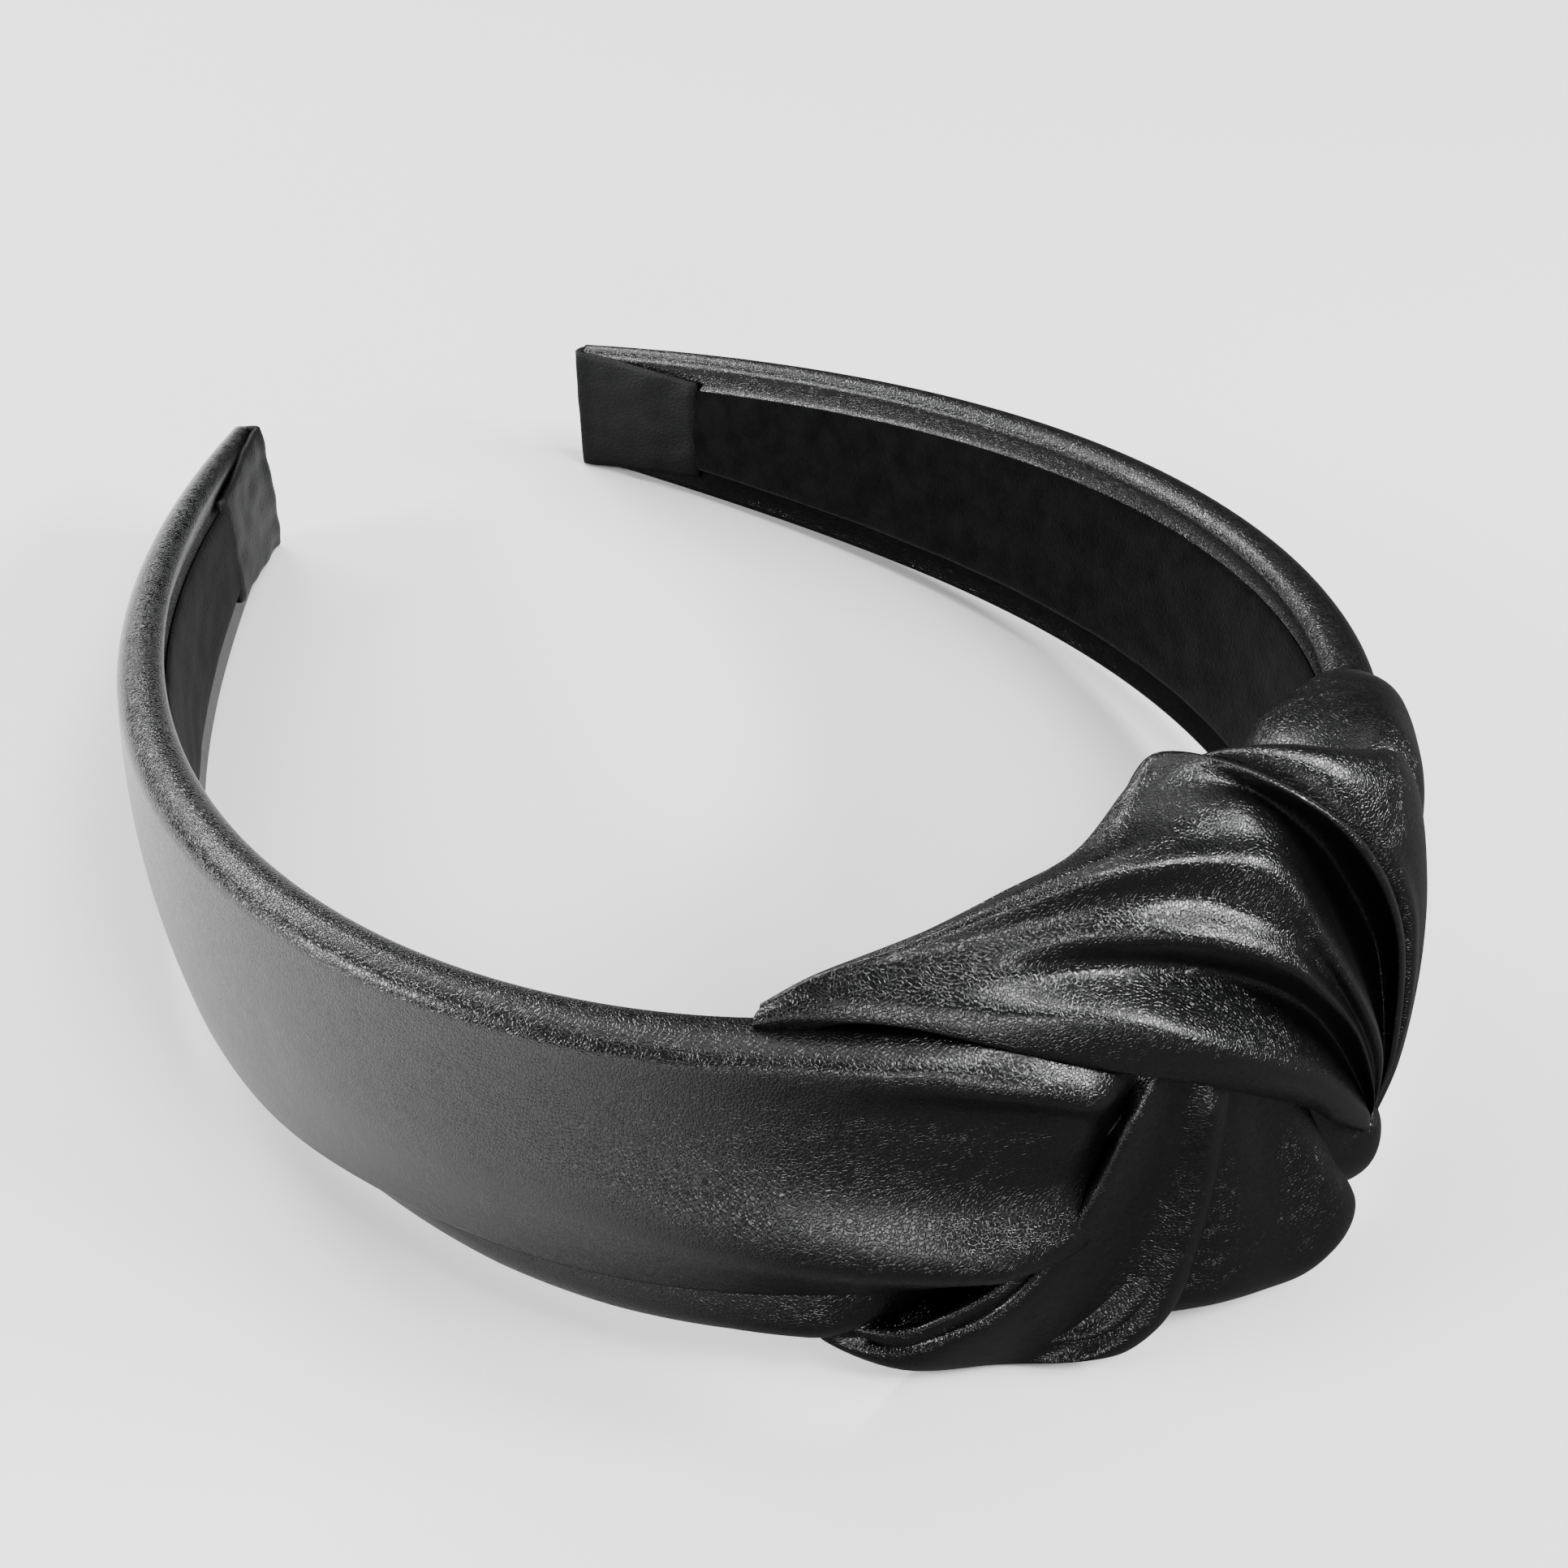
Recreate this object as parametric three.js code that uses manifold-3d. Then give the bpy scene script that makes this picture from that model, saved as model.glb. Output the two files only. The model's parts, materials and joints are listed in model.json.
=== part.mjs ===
// Knotted headband lying on its side: a sprung C-shaped band, padded and covered in soft faux leather,
// with a velvet ribbon lining its inner face and a knot of wrapped leather strips at the crown.
//
// Millimetres, +Z up. The knot faces -Y, the tips point to +Y, the left arm lies at -X. The headband
// rests on the underside of its knot and on the lower corners of its two tips.
//
// The pieces are described in band coordinates:
//   arc    distance along the inner face from the middle of the crown, + on the right arm, - on the left
//   across distance across the band's width from its middle line, + upwards
//   out    distance outwards from the inner face, away from the head

import * as THREE from "three";
import * as BufferGeometryUtils from "three/addons/utils/BufferGeometryUtils.js";
import Module from "manifold-3d";

const wasm = await Module();
wasm.setup();

// ---------------------------------------------------------------------------------------------------
// Driving dimensions

const halfLength = 190;          // arc length of each arm, from mid crown to tip
const innerWidth = 114.2;        // widest distance between the arms' inner faces
const tipGap = 47.4;             // distance between the tips' inner faces
const crownWidth = 31;           // width of the band itself
const tipWidth = 17.8;

const layerGap = 0.3;            // clearance between touching layers
const liningThickness = 0.6;
const skinThickness = 0.6;
const coreThickness = 1.5;
const crownPadding = 2.4;        // room for the foam over the core, at mid crown
const tipPadding = 0.2;

const coreInset = 3;             // from the band's edge to the edge of the plastic core
const liningInset = 4.6;         // from the band's edge to the edge of the ribbon
const lipLength = 7;             // leather turned under onto the inner face
const rollWidth = 4;             // padded roll along each edge
const crownRollRise = 0.9;       // how far the roll stands proud of the inner lip, at mid crown
const crownBulge = 1.1;          // drop of the outer face from its middle to its edge, at mid crown
const tipBulge = 0.2;

const tabLength = 19;            // leather tab over each tip
const foamStop = 26;             // distance from the tip at which the padding ends

const knotOffset = 9;            // the knot sits towards the right arm
const knotHalfLength = 41;
const hingeClearance = 14;       // from the knot's end to the arm's flexing line
const hingeSlit = 2.4;           // clearance between the crown's and the arm's pieces

const pleatLength = 48;          // second layer of leather, from the knot along the left arm's lower edge
const pleatClearance = 1.6;      // from the knot's lower strip to the pleat
const pleatThickness = 2.2;
const pleatTipThickness = 0.7;

const arcStep = 9;               // spacing of the facets along the band
const lipPoints = 2;             // points of the skin's outline on each inner lip
const rollFacets = 6;            // facets round each padded roll
const outerFacets = 3;           // facets from the band's middle line to a roll
const wrapStep = 14;             // spacing of the facets round a knot strip, in degrees
const acrossFacets = 8;          // facets from side to side of a knot strip

// ---------------------------------------------------------------------------------------------------
// Materials

const leather = { color: 0x0b0b0c, roughness: 0.38, metalness: 0 };
const tabLeather = { color: 0x111112, roughness: 0.62, metalness: 0 };
const velvet = { color: 0x070708, roughness: 0.95, metalness: 0 };
const foam = { color: 0x9a968c, roughness: 0.9, metalness: 0 };
const plastic = { color: 0x1a1a1b, roughness: 0.5, metalness: 0 };

// ---------------------------------------------------------------------------------------------------
// The band's curve and section

// Levels of the layers, outwards from the inner face.
const lipLevel = liningThickness + layerGap;
const coreLevel = lipLevel + skinThickness + layerGap;
const coreTop = coreLevel + coreThickness;

/** 1 at mid crown, 0 at the tips. */
function crownShare(arc) {
  return 1 - Math.pow(Math.min(Math.abs(arc) / halfLength, 1), 3);
}

/** A size that changes from its value at the tips to its value at mid crown. */
function tapered(tipValue, crownValue, arc) {
  return THREE.MathUtils.lerp(tipValue, crownValue, crownShare(arc));
}

function halfWidth(arc) {
  return tapered(tipWidth, crownWidth, arc) / 2;
}

/** Thickness from the lining to the outer skin. */
function thickness(arc) {
  return coreTop + layerGap + skinThickness + tapered(tipPadding, crownPadding, arc);
}

/** Follows the inner face along an arm. The curvature falls smoothly from the crown's to the tip's. */
function followCurve(crownCurvature, tipCurvature, length) {
  const steps = Math.max(1, Math.ceil(length));
  const step = length / steps;
  let heading = 0;
  let x = 0;
  let y = 0;
  let widest = 0;
  for (let index = 0; index < steps; index += 1) {
    const share = (index + 0.5) * step / halfLength;
    const fall = Math.pow(1 - share * share, 2);
    const turn = THREE.MathUtils.lerp(tipCurvature, crownCurvature, fall) * step;
    x += Math.cos(heading + turn / 2) * step;
    y += Math.sin(heading + turn / 2) * step;
    heading += turn;
    widest = Math.max(widest, x);
  }
  return { x, y, heading, widest };
}

/** The value from low to high at which a measure that falls reaches its target. */
function solveFalling(low, high, target, measure) {
  const rounds = 40;
  let from = low;
  let to = high;
  for (let round = 0; round < rounds; round += 1) {
    const middle = (from + to) / 2;
    if (measure(middle) > target) {
      from = middle;
    } else {
      to = middle;
    }
  }
  return (from + to) / 2;
}

// The two curvatures that give the arms their length, their widest distance and their gap at the tips.
const circleCurvature = 2 / innerWidth;
const tipCurvatureFor = (crownCurvature) => solveFalling(
  -circleCurvature, circleCurvature, tipGap / 2,
  (tipCurvature) => followCurve(crownCurvature, tipCurvature, halfLength).x,
);
const crownCurvature = solveFalling(
  circleCurvature / 2, circleCurvature * 2, innerWidth / 2,
  (curvature) => followCurve(curvature, tipCurvatureFor(curvature), halfLength).widest,
);
const tipCurvature = tipCurvatureFor(crownCurvature);

/** Point of the inner face at mid width, and the direction away from the head. */
function bandFrame(arc) {
  const side = Math.sign(arc) || 1;
  const { x, y, heading } = followCurve(crownCurvature, tipCurvature, Math.abs(arc));
  return { x: side * x, y, outX: side * Math.sin(heading), outY: -Math.cos(heading) };
}

function bandPoint(arc, across, out) {
  const frame = bandFrame(arc);
  return new THREE.Vector3(frame.x + frame.outX * out, frame.y + frame.outY * out, across);
}

/** Arcs of the facet lines from one end of a piece to the other. */
function arcsBetween(from, to) {
  const arcs = [from];
  for (let line = Math.ceil(from / arcStep); line * arcStep < to; line += 1) {
    const arc = line * arcStep;
    if (arc - from > arcStep / 4 && to - arc > arcStep / 4) arcs.push(arc);
  }
  arcs.push(to);
  return arcs;
}

/** The skin's outer outline at one arc, from the lower lip round the outer face to the upper lip. */
function skinOutline(arc) {
  const half = halfWidth(arc);
  const rise = tapered(0, crownRollRise, arc);
  const edgeTop = thickness(arc) - tapered(tipBulge, crownBulge, arc);
  const rollLow = lipLevel - rise;
  const rollMiddle = (edgeTop + rollLow) / 2;
  const rollDepth = (edgeTop - rollLow) / 2;
  const upper = [[half - lipLength, lipLevel], [half - rollWidth, lipLevel]];
  for (let index = 1; index <= rollFacets; index += 1) {
    const angle = Math.PI * (index / rollFacets - 0.5);
    const across = half - rollWidth / 2 + Math.cos(angle) * rollWidth / 2;
    upper.push([across, rollMiddle + Math.sin(angle) * rollDepth]);
  }
  for (let index = 1; index <= outerFacets; index += 1) {
    const across = (half - rollWidth / 2) * (1 - index / outerFacets);
    const flat = across / (half - rollWidth / 2);
    upper.push([across, thickness(arc) - (thickness(arc) - edgeTop) * flat * flat]);
  }
  const lower = upper.slice(0, -1).map(([across, out]) => [-across, out]);
  return lower.concat(upper.reverse());
}

/** An open outline moved to its inner side by a distance, or to its outer side by a negative one. */
function insetOutline(outline, distance) {
  return outline.map((point, index) => {
    const before = outline[Math.max(index - 1, 0)];
    const after = outline[Math.min(index + 1, outline.length - 1)];
    const along = new THREE.Vector2(after[0] - before[0], after[1] - before[1]).normalize();
    return [point[0] + along.y * distance, point[1] - along.x * distance];
  });
}

// ---------------------------------------------------------------------------------------------------
// Solids

/** Turns a closed geometry the right way out. */
function facingOut(geometry) {
  const place = geometry.getAttribute("position");
  const order = geometry.getIndex().array;
  const corners = [new THREE.Vector3(), new THREE.Vector3(), new THREE.Vector3()];
  let volume = 0;
  for (let index = 0; index < order.length; index += 3) {
    corners.forEach((corner, offset) => corner.fromBufferAttribute(place, order[index + offset]));
    volume += corners[0].dot(corners[1].cross(corners[2]));
  }
  if (volume < 0) {
    for (let index = 0; index < order.length; index += 3) {
      [order[index + 1], order[index + 2]] = [order[index + 2], order[index + 1]];
    }
  }
  return geometry;
}

/** Solid through closed sections. A section is { station, ring }, and place(station, a, b) gives a point. */
function loft(sections, place) {
  const count = sections[0].ring.length;
  const positions = [];
  const triangles = [];
  for (const { station, ring } of sections) {
    for (const [a, b] of ring) positions.push(...place(station, a, b).toArray());
  }
  for (let row = 0; row + 1 < sections.length; row += 1) {
    for (let column = 0; column < count; column += 1) {
      const next = (column + 1) % count;
      const corner = [row * count + column, row * count + next];
      const above = [corner[0] + count, corner[1] + count];
      triangles.push(corner[0], corner[1], above[1], corner[0], above[1], above[0]);
    }
  }
  const last = sections.length - 1;
  for (const row of [0, last]) {
    const outline = sections[row].ring.map(([a, b]) => new THREE.Vector2(a, b));
    const clockwise = THREE.ShapeUtils.isClockWise(outline);
    const flip = (row === 0) !== clockwise;
    for (const [a, b, c] of THREE.ShapeUtils.triangulateShape(outline, [])) {
      const face = flip ? [a, c, b] : [a, b, c];
      triangles.push(...face.map((corner) => corner + row * count));
    }
  }
  const geometry = new THREE.BufferGeometry();
  geometry.setAttribute("position", new THREE.Float32BufferAttribute(positions, 3));
  geometry.setIndex(triangles);
  return facingOut(geometry);
}

/** Solid along the band, whose section at each arc is a ring of [across, out] points. */
function alongBand(from, to, ringAt) {
  const sections = arcsBetween(from, to).map((arc) => ({ station: arc, ring: ringAt(arc) }));
  return loft(sections, bandPoint);
}

function rectangle(half, low, high) {
  return [[-half, low], [half, low], [half, high], [-half, high]];
}

function skinRing(arc) {
  const outline = skinOutline(arc);
  return outline.concat(insetOutline(outline, skinThickness).reverse());
}

function coreRing(arc) {
  return rectangle(halfWidth(arc) - coreInset, coreLevel, coreTop);
}

function liningRing(arc) {
  return rectangle(halfWidth(arc) - liningInset, 0, liningThickness);
}

/** Padding over the core's outer face and round its edges, inside the skin. */
function foamRing(arc) {
  const outline = insetOutline(skinOutline(arc), skinThickness + layerGap);
  const outer = outline.slice(lipPoints, -lipPoints);
  const edge = halfWidth(arc) - coreInset + layerGap;
  const bed = coreTop + layerGap;
  const inner = [[edge, coreLevel], [edge, bed], [-edge, bed], [-edge, coreLevel]];
  return outer.concat(inner);
}

/** Second layer of leather under the left arm's lower edge, thinning out along the arm. */
function pleatRing(arc) {
  const share = (pleatTo - arc) / pleatLength;
  const thick = THREE.MathUtils.lerp(pleatThickness, pleatTipThickness, share);
  const lowerRoll = skinOutline(arc).slice(lipPoints + 1, lipPoints + rollFacets + 1);
  return insetOutline(lowerRoll, -layerGap).concat(insetOutline(lowerRoll, -layerGap - thick).reverse());
}

/** One closed body from two overlapping ones. */
function joined(first, second) {
  const solids = [first, second].map((geometry) => {
    const merged = BufferGeometryUtils.mergeVertices(geometry);
    return new wasm.Manifold(new wasm.Mesh({
      numProp: 3,
      vertProperties: new Float32Array(merged.getAttribute("position").array),
      triVerts: new Uint32Array(merged.getIndex().array),
    }));
  });
  const mesh = solids[0].add(solids[1]).getMesh();
  const geometry = new THREE.BufferGeometry();
  geometry.setAttribute("position", new THREE.BufferAttribute(mesh.vertProperties, 3));
  geometry.setIndex(new THREE.BufferAttribute(mesh.triVerts, 1));
  return geometry;
}

/** Leather tab over a tip: a plate on the inner face and another closing the end. */
function tipTab(side) {
  const plateRing = (arc) => rectangle(halfWidth(arc) - layerGap, 0, liningThickness);
  const endRing = (arc) => rectangle(halfWidth(arc) - layerGap, 0, thickness(halfLength));
  const inner = halfLength - tabLength;
  const end = halfLength + layerGap;
  const outer = end + skinThickness;
  const plate = side > 0 ? alongBand(inner, outer, plateRing) : alongBand(-outer, -inner, plateRing);
  const cap = side > 0 ? alongBand(end, outer, endRing) : alongBand(-outer, -end, endRing);
  return joined(plate, cap);
}

// ---------------------------------------------------------------------------------------------------
// The knot's strips, wrapped round the band
//
// A strip is described by its stations round the band: 0 degrees is the middle of the outer face, 90 the
// upper edge, 180 the inner face and -90 the lower edge. left and right are the strip's edges, as shares
// of the knot's half length from its middle. lift is the clearance under it, edge its thickness at its
// edges, and bulge what its middle adds to that.

const wrapSide = 1;              // room between the band's edge and the innermost strip
const wrapFace = 0.8;            // room between the band's faces and the innermost strip
const footLeft = -0.83;          // left edge of the lower strip where it passes the lower edge

/** A point round the band at an angle, at a height over the innermost strip's underside. */
function wrapPoint(degrees, share, height) {
  const angle = THREE.MathUtils.degToRad(degrees);
  const inner = lipLevel - crownRollRise;
  const outer = thickness(0);
  const middle = (inner + outer) / 2;
  const tall = crownWidth / 2 + wrapSide + height;
  const deep = (outer - inner) / 2 + wrapFace + height;
  const squared = (value) => Math.sign(value) * Math.sqrt(Math.abs(value));
  const across = tall * squared(Math.sin(angle));
  const out = middle + deep * squared(Math.cos(angle));
  return bandPoint(knotOffset + share * knotHalfLength, across, out);
}

/** Stations with smoothly changing values, wrapStep degrees apart at most. */
function smoothStations(stations) {
  const names = ["at", "left", "right", "lift", "edge", "bulge"];
  const points = [];
  for (let index = 0; index + 1 < stations.length; index += 1) {
    const around = [index - 1, index, index + 1, index + 2]
      .map((place) => stations[THREE.MathUtils.clamp(place, 0, stations.length - 1)]);
    const pieces = Math.ceil(Math.abs(around[2].at - around[1].at) / wrapStep);
    for (let piece = 0; piece < pieces; piece += 1) {
      const share = piece / pieces;
      const blend = share * share * (3 - 2 * share);
      const point = {};
      for (const name of names) {
        const weight = name === "at" ? share : blend;
        point[name] = THREE.MathUtils.lerp(around[1][name], around[2][name], weight);
      }
      points.push(point);
    }
  }
  points.push(stations[stations.length - 1]);
  return points;
}

function strip(rows) {
  const stations = rows.map(([at, left, right, lift, edge, bulge]) => ({ at, left, right, lift, edge, bulge }));
  const sections = smoothStations(stations).map(({ at, left, right, lift, edge, bulge }) => {
    const under = [];
    const over = [];
    for (let facet = 0; facet <= acrossFacets; facet += 1) {
      const side = 2 * facet / acrossFacets - 1;
      const share = THREE.MathUtils.lerp(left, right, facet / acrossFacets);
      under.push([share, lift]);
      over.push([share, lift + edge + bulge * (1 - side * side)]);
    }
    return { station: at, ring: under.concat(over.reverse()) };
  });
  return loft(sections, wrapPoint);
}

const knotStrips = {
  // Wide strip that comes over the upper edge in a fan and gathers to a pinch low on the outer face.
  knot_upper_flap: [
    [150, -0.10, 0.57, 0.4, 1.2, 1.6],
    [120, -0.35, 0.55, 0.8, 1.2, 4.5],
    [90, -1.00, 0.52, 1.0, 1.2, 8.8],
    [60, -0.95, 0.53, 1.9, 1.2, 7.0],
    [35, -0.73, 0.55, 3.3, 1.2, 5.0],
    [15, -0.45, 0.55, 3.9, 1.2, 4.2],
    [0, -0.10, 0.55, 4.1, 1.2, 4.0],
    [-10, 0.12, 0.54, 4.3, 1.2, 3.5],
    [-20, 0.22, 0.52, 4.5, 1.2, 2.5],
    [-27, 0.28, 0.48, 4.7, 1.2, 1.2],
  ],
  // Strip from under the flap, down over the lower edge at the knot's left.
  knot_lower_strip: [
    [20, -0.62, -0.05, 0.4, 1.0, 1.5],
    [5, -0.50, -0.08, 0.4, 1.2, 1.7],
    [-5, -0.46, -0.13, 0.4, 1.5, 4.5],
    [-20, -0.49, -0.17, 0.4, 1.8, 6.0],
    [-45, -0.61, -0.20, 0.4, 1.8, 5.5],
    [-70, -0.76, -0.24, 0.4, 1.8, 6.0],
    [-90, footLeft, -0.27, 0.4, 1.8, 7.0],
    [-115, footLeft, -0.25, 0.4, 1.5, 4.0],
    [-150, -0.70, -0.16, 0.4, 1.2, 1.4],
  ],
  // Full fold between the lower strip and the pinch.
  knot_lower_lobe: [
    [-12, -0.10, 0.09, 0.4, 1.0, 2.0],
    [-20, -0.13, 0.18, 0.4, 1.6, 5.5],
    [-30, -0.14, 0.26, 0.4, 1.8, 7.5],
    [-50, -0.16, 0.29, 0.4, 1.8, 7.0],
    [-70, -0.19, 0.29, 0.4, 1.8, 6.6],
    [-90, -0.22, 0.27, 0.4, 1.8, 7.0],
    [-115, -0.20, 0.25, 0.4, 1.5, 3.5],
    [-150, -0.11, 0.25, 0.4, 1.2, 1.4],
  ],
  // Small fold that leaves the pinch downwards.
  knot_small_lobe: [
    [-30, 0.31, 0.50, 0.4, 1.6, 3.6],
    [-60, 0.32, 0.53, 0.4, 1.6, 3.8],
    [-90, 0.31, 0.53, 0.4, 1.4, 3.4],
    [-120, 0.30, 0.53, 0.4, 1.2, 2.0],
    [-150, 0.29, 0.53, 0.4, 1.2, 1.4],
  ],
  // Strip at the knot's right, wrapped over both edges onto the lining.
  knot_rear_strip: [
    [165, 0.70, 0.98, 0.4, 1.0, 1.2],
    [140, 0.62, 1.00, 0.4, 1.0, 1.8],
    [115, 0.59, 1.00, 0.4, 1.0, 2.4],
    [90, 0.57, 1.00, 0.4, 1.0, 2.6],
    [30, 0.59, 0.95, 0.4, 1.0, 3.2],
    [0, 0.59, 0.92, 0.4, 1.0, 3.2],
    [-30, 0.57, 0.90, 0.4, 1.0, 3.0],
    [-90, 0.57, 0.96, 0.4, 1.0, 2.6],
    [-130, 0.58, 0.98, 0.4, 1.0, 2.0],
    [-165, 0.62, 0.98, 0.4, 1.0, 1.2],
  ],
  // Flat stretch of the wraps across the inner face.
  knot_inner_wrap: [
    [156, -0.10, 0.56, 0.4, 1.2, 0.6],
    [180, -0.13, 0.56, 0.4, 1.2, 0.4],
    [204, -0.13, 0.54, 0.4, 1.2, 0.6],
  ],
};

// Wadding that fills out the flap.
const knotPad = [
  [72, 0.00, 0.46, 0.4, 0.3, 0.4],
  [40, 0.00, 0.48, 0.4, 0.6, 1.4],
  [10, 0.00, 0.50, 0.4, 0.8, 2.0],
  [-9, 0.10, 0.48, 0.4, 0.8, 2.2],
];

// ---------------------------------------------------------------------------------------------------
// Assembly

const leftHinge = knotOffset - knotHalfLength - hingeClearance;
const rightHinge = knotOffset + knotHalfLength + hingeClearance;
const pivotLevel = coreLevel + coreThickness / 2;
const pleatTo = knotOffset + footLeft * knotHalfLength - pleatClearance;

const crown = new THREE.Group();
const leftArm = new THREE.Group();
const rightArm = new THREE.Group();
leftArm.position.copy(bandPoint(leftHinge, 0, pivotLevel));
rightArm.position.copy(bandPoint(rightHinge, 0, pivotLevel));

function addPiece(body, name, geometry, look) {
  const piece = new THREE.Mesh(geometry, new THREE.MeshStandardMaterial(look));
  piece.name = name;
  piece.geometry.translate(-body.position.x, -body.position.y, -body.position.z);
  body.add(piece);
}

const crownFrom = leftHinge + hingeSlit / 2;
const crownTo = rightHinge - hingeSlit / 2;
const leftFrom = -halfLength;
const leftTo = leftHinge - hingeSlit / 2;
const rightFrom = rightHinge + hingeSlit / 2;
const rightTo = halfLength;
const liningStop = tabLength + layerGap;

addPiece(crown, "crown_core", alongBand(crownFrom, crownTo, coreRing), plastic);
addPiece(leftArm, "left_arm_core", alongBand(leftFrom, leftTo, coreRing), plastic);
addPiece(rightArm, "right_arm_core", alongBand(rightFrom, rightTo, coreRing), plastic);

addPiece(crown, "crown_foam", alongBand(crownFrom, crownTo, foamRing), foam);
addPiece(leftArm, "left_arm_foam", alongBand(leftFrom + foamStop, leftTo, foamRing), foam);
addPiece(rightArm, "right_arm_foam", alongBand(rightFrom, rightTo - foamStop, foamRing), foam);

addPiece(crown, "crown_lining", alongBand(crownFrom, crownTo, liningRing), velvet);
addPiece(leftArm, "left_arm_lining", alongBand(leftFrom + liningStop, leftTo, liningRing), velvet);
addPiece(rightArm, "right_arm_lining", alongBand(rightFrom, rightTo - liningStop, liningRing), velvet);

const coverSeam = layerGap / 2;
addPiece(crown, "left_crown_cover", alongBand(crownFrom, knotOffset - coverSeam, skinRing), leather);
addPiece(crown, "right_crown_cover", alongBand(knotOffset + coverSeam, crownTo, skinRing), leather);
addPiece(leftArm, "left_arm_cover", alongBand(leftFrom, leftTo, skinRing), leather);
addPiece(rightArm, "right_arm_cover", alongBand(rightFrom, rightTo, skinRing), leather);

addPiece(crown, "left_crown_pleat", alongBand(crownFrom, pleatTo, pleatRing), leather);
addPiece(leftArm, "left_arm_pleat", alongBand(pleatTo - pleatLength, leftTo, pleatRing), leather);

addPiece(leftArm, "left_tip_tab", tipTab(-1), tabLeather);
addPiece(rightArm, "right_tip_tab", tipTab(1), tabLeather);

for (const [name, rows] of Object.entries(knotStrips)) addPiece(crown, name, strip(rows), leather);
addPiece(crown, "knot_pad", strip(knotPad), foam);

const headband = new THREE.Group();
headband.add(crown, leftArm, rightArm);

// The headband is turned about X until the knot's underside and the tips' lower corners are level.
function lowestPoint(pieces) {
  const point = new THREE.Vector3();
  let lowest = null;
  for (const piece of pieces) {
    const place = piece.geometry.getAttribute("position");
    for (let index = 0; index < place.count; index += 1) {
      point.fromBufferAttribute(place, index).applyMatrix4(piece.matrixWorld);
      if (lowest === null || point.z < lowest.z) lowest = point.clone();
    }
  }
  return lowest;
}

const settlingRounds = 4;
for (let round = 0; round < settlingRounds; round += 1) {
  headband.updateMatrixWorld(true);
  const knotFoot = lowestPoint(crown.children);
  const tipFoot = lowestPoint(leftArm.children);
  headband.rotation.x -= Math.atan2(tipFoot.z - knotFoot.z, tipFoot.y - knotFoot.y);
}

// The origin is under the middle of the headband, on the surface that it lies on.
headband.updateMatrixWorld(true);
const extent = new THREE.Box3().setFromObject(headband, true);
const middle = extent.getCenter(new THREE.Vector3());
headband.position.set(-middle.x, -middle.y, -extent.min.z);

const part = new THREE.Group();
part.add(headband);

export default part;
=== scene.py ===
# Knotted headband: a sprung C-shaped plastic band, padded with foam and covered in fine-grained black faux
# leather, with a velvet ribbon down its inner face, a leather tab over each tip and a knot at the crown.
import json
import math
import bpy
import numpy as np
from mathutils import Matrix, Vector, noise


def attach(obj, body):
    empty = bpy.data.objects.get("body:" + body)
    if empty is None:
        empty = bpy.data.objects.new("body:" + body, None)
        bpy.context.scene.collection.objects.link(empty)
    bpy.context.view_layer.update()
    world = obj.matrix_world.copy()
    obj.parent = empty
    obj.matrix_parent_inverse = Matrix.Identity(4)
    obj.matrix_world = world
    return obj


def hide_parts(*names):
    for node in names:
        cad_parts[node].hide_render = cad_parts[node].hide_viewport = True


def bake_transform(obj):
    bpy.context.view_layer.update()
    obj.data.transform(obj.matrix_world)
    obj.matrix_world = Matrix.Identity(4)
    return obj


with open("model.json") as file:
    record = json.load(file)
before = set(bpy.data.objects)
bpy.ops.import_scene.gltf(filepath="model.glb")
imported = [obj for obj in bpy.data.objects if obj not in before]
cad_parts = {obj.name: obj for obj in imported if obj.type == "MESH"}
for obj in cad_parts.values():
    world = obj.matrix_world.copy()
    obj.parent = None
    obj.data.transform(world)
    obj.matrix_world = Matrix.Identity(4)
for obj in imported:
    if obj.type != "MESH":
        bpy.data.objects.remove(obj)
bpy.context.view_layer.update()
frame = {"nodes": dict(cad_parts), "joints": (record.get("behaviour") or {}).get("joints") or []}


# ----------------------------------------------------------------------------------------------------
# Studio: the headband lies on a white table in a dim room. A broad lamp overhead lights the table, and
# smaller ones all round give the leather its highlights: a key lamp, and one at each of four sides.

AIM = Vector((-0.0011, -0.0163, 0.0200))
CAMERA_DISTANCE = 0.2059
AZIMUTH = math.radians(33.24)
ELEVATION = math.radians(40.26)
ROLL = math.radians(3.33)

forward = Vector((
    math.sin(AZIMUTH) * math.cos(ELEVATION), math.cos(AZIMUTH) * math.cos(ELEVATION), -math.sin(ELEVATION)
))
level = forward.cross(Vector((0, 0, 1))).normalized()
upright = level.cross(forward)
right = level * math.cos(ROLL) + upright * math.sin(ROLL)
up = right.cross(forward)
camera_data = bpy.data.cameras.new("camera")
camera_data.sensor_width = 36
camera_data.lens = 44.74
camera_data.clip_start = 0.01
camera = bpy.data.objects.new("camera", camera_data)
turn = Matrix((right, up, -forward)).transposed()
camera.matrix_world = Matrix.Translation(AIM - forward * CAMERA_DISTANCE) @ turn.to_4x4()
bpy.context.scene.collection.objects.link(camera)
bpy.context.scene.camera = camera

TABLE_HALF = 2.5
table_mesh = bpy.data.meshes.new("table")
corners = [(-1, -1), (1, -1), (1, 1), (-1, 1)]
table_mesh.from_pydata([(x * TABLE_HALF, y * TABLE_HALF, 0) for x, y in corners], [], [(0, 1, 2, 3)])
table = bpy.data.objects.new("table", table_mesh)
bpy.context.scene.collection.objects.link(table)


def add_node(tree, kind, **settings):
    """A shader node. Settings are its properties, and inputs={name or index: value} sets its sockets."""
    node = tree.nodes.new(kind)
    inputs = settings.pop("inputs", {})
    for key, value in settings.items():
        setattr(node, key, value)
    for key, value in inputs.items():
        node.inputs[key].default_value = value
    return node


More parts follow.
